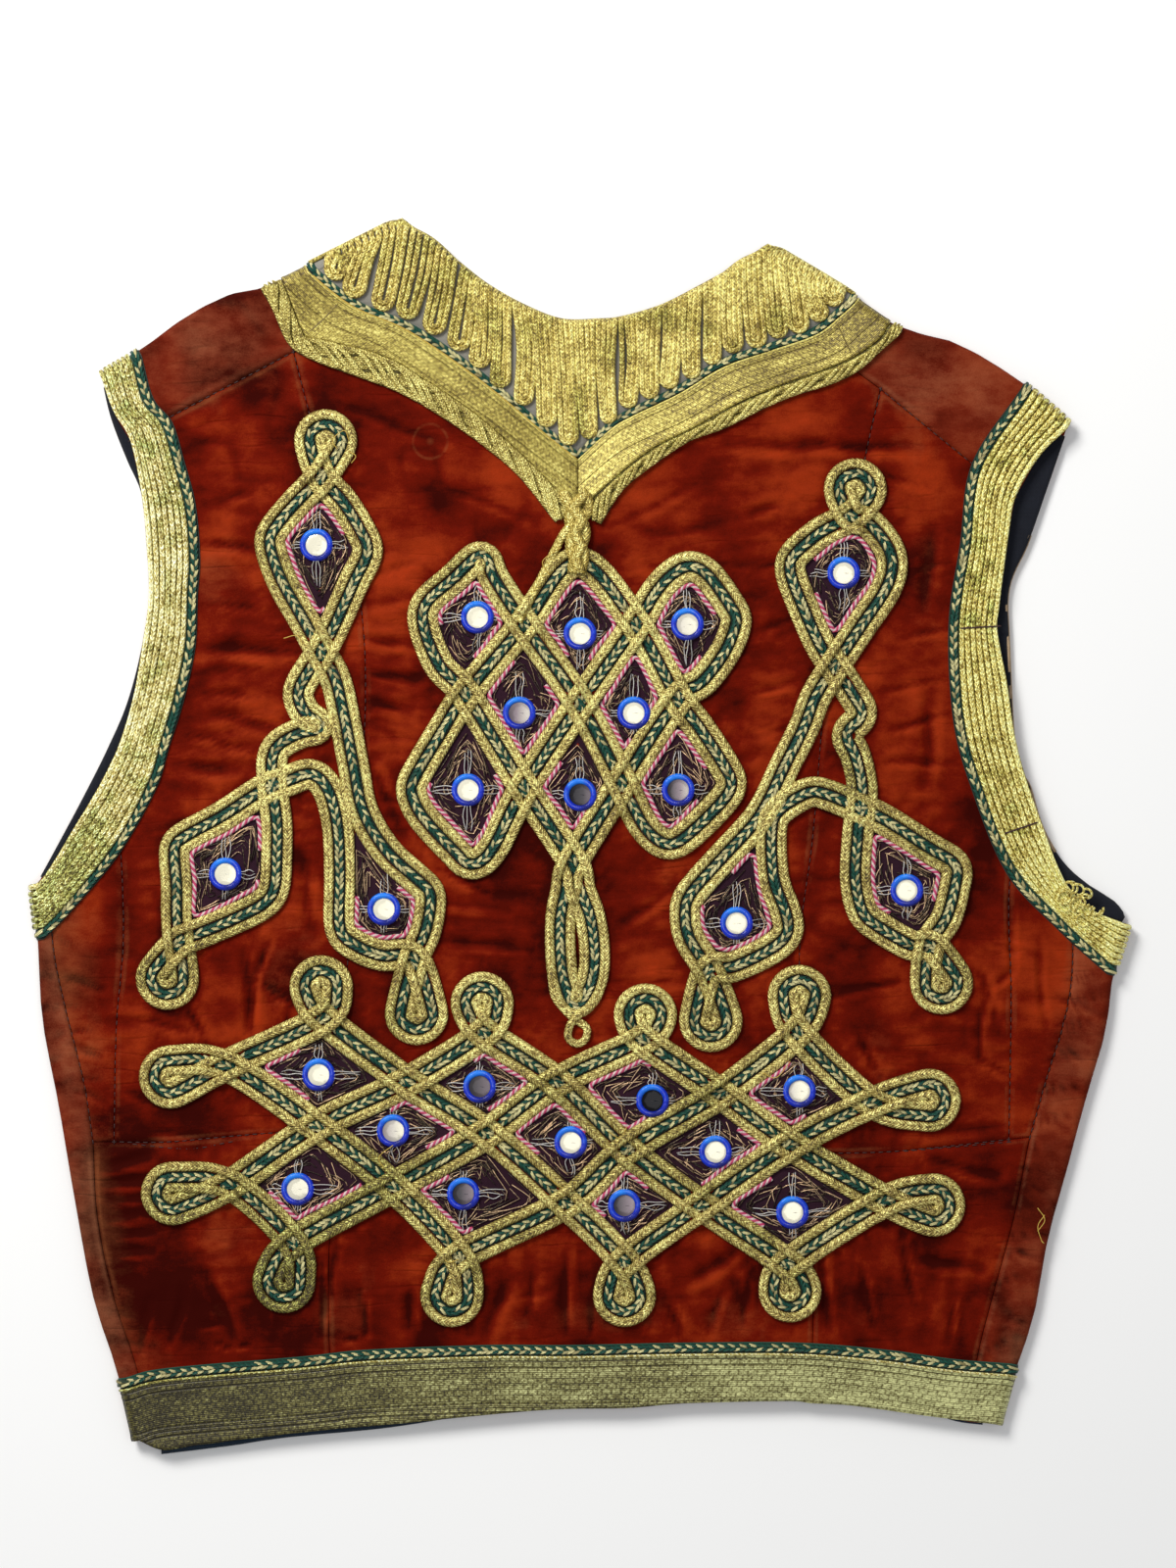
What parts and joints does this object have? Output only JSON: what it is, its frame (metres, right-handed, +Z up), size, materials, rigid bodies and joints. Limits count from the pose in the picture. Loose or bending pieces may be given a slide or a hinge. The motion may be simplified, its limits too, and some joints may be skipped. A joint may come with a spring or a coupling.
{
  "type": "embroidered waistcoat",
  "caption": "Sleeveless velvet waistcoat laid flat, back uppermost, with couched gold braid lattices, lozenge patches set with small round mirrors, a corded V neck and a woven hem band.",
  "frame": {"origin": "centre of the garment's footprint, on the surface it lies on", "axes": "+Z up from the surface through the cloth, +Y from the hem to the neck, +X to the right seen from above"},
  "size_m": [0.4747, 0.5278, 0.0116],
  "materials": {
    "velvet": "deep rust red cut pile with a soft sheen",
    "worn_velvet": "the same pile rubbed paler at folds",
    "lining": "plain navy cotton, matte",
    "neck_cloth": "grey plain weave, matte",
    "gold_cord": "twisted cord of dull gold metal thread",
    "gold_ribbon": "woven metal-thread ribbon, satin",
    "olive_ribbon": "woven metal-thread ribbon, tarnished olive",
    "green_chain": "chain stitch in green and pale gold thread",
    "patch": "aubergine cloth under copper thread"
  },
  "bodies": {
    "root": {"armhole_band_left": "gold_cord", "armhole_band_right": "gold_cord", "armhole_chain_left": "green_chain", "armhole_chain_right": "green_chain", "back_centre": "velvet", "back_left": "velvet", "back_right": "velvet", "back_side_left": "velvet", "back_side_right": "velvet", "braid_centre": "gold_cord", "braid_lower": "gold_cord", "braid_pendant_left": "gold_cord", "braid_pendant_right": "gold_cord", "front_left": "worn_velvet", "front_right": "worn_velvet", "hem_chain": "green_chain", "hem_galloon": "olive_ribbon", "lining_armhole_left": "lining", "lining_armhole_right": "lining", "lining_hem": "lining", "lower_back_left": "velvet", "lower_back_right": "velvet", "lozenge_01": "patch", "lozenge_02": "patch", "lozenge_03": "patch", "lozenge_04": "patch", "lozenge_05": "patch", "lozenge_06": "patch", "lozenge_07": "patch", "lozenge_08": "patch", "lozenge_09": "patch", "lozenge_10": "patch", "lozenge_11": "patch", "lozenge_12": "patch", "lozenge_13": "patch", "lozenge_14": "patch", "lozenge_15": "patch", "lozenge_16": "patch", "lozenge_17": "patch", "lozenge_18": "patch", "lozenge_19": "patch", "lozenge_20": "patch", "lozenge_21": "patch", "lozenge_22": "patch", "lozenge_23": "patch", "lozenge_24": "patch", "lozenge_25": "patch", "neck_chain_left": "green_chain", "neck_chain_right": "green_chain", "neck_facing": "neck_cloth", "neck_galloon_left": "gold_ribbon", "neck_galloon_right": "gold_ribbon", "neck_knot": "gold_cord", "neck_loops": "gold_cord", "neck_rope_left": "gold_cord", "neck_rope_right": "gold_cord"}
  },
  "joints": []
}
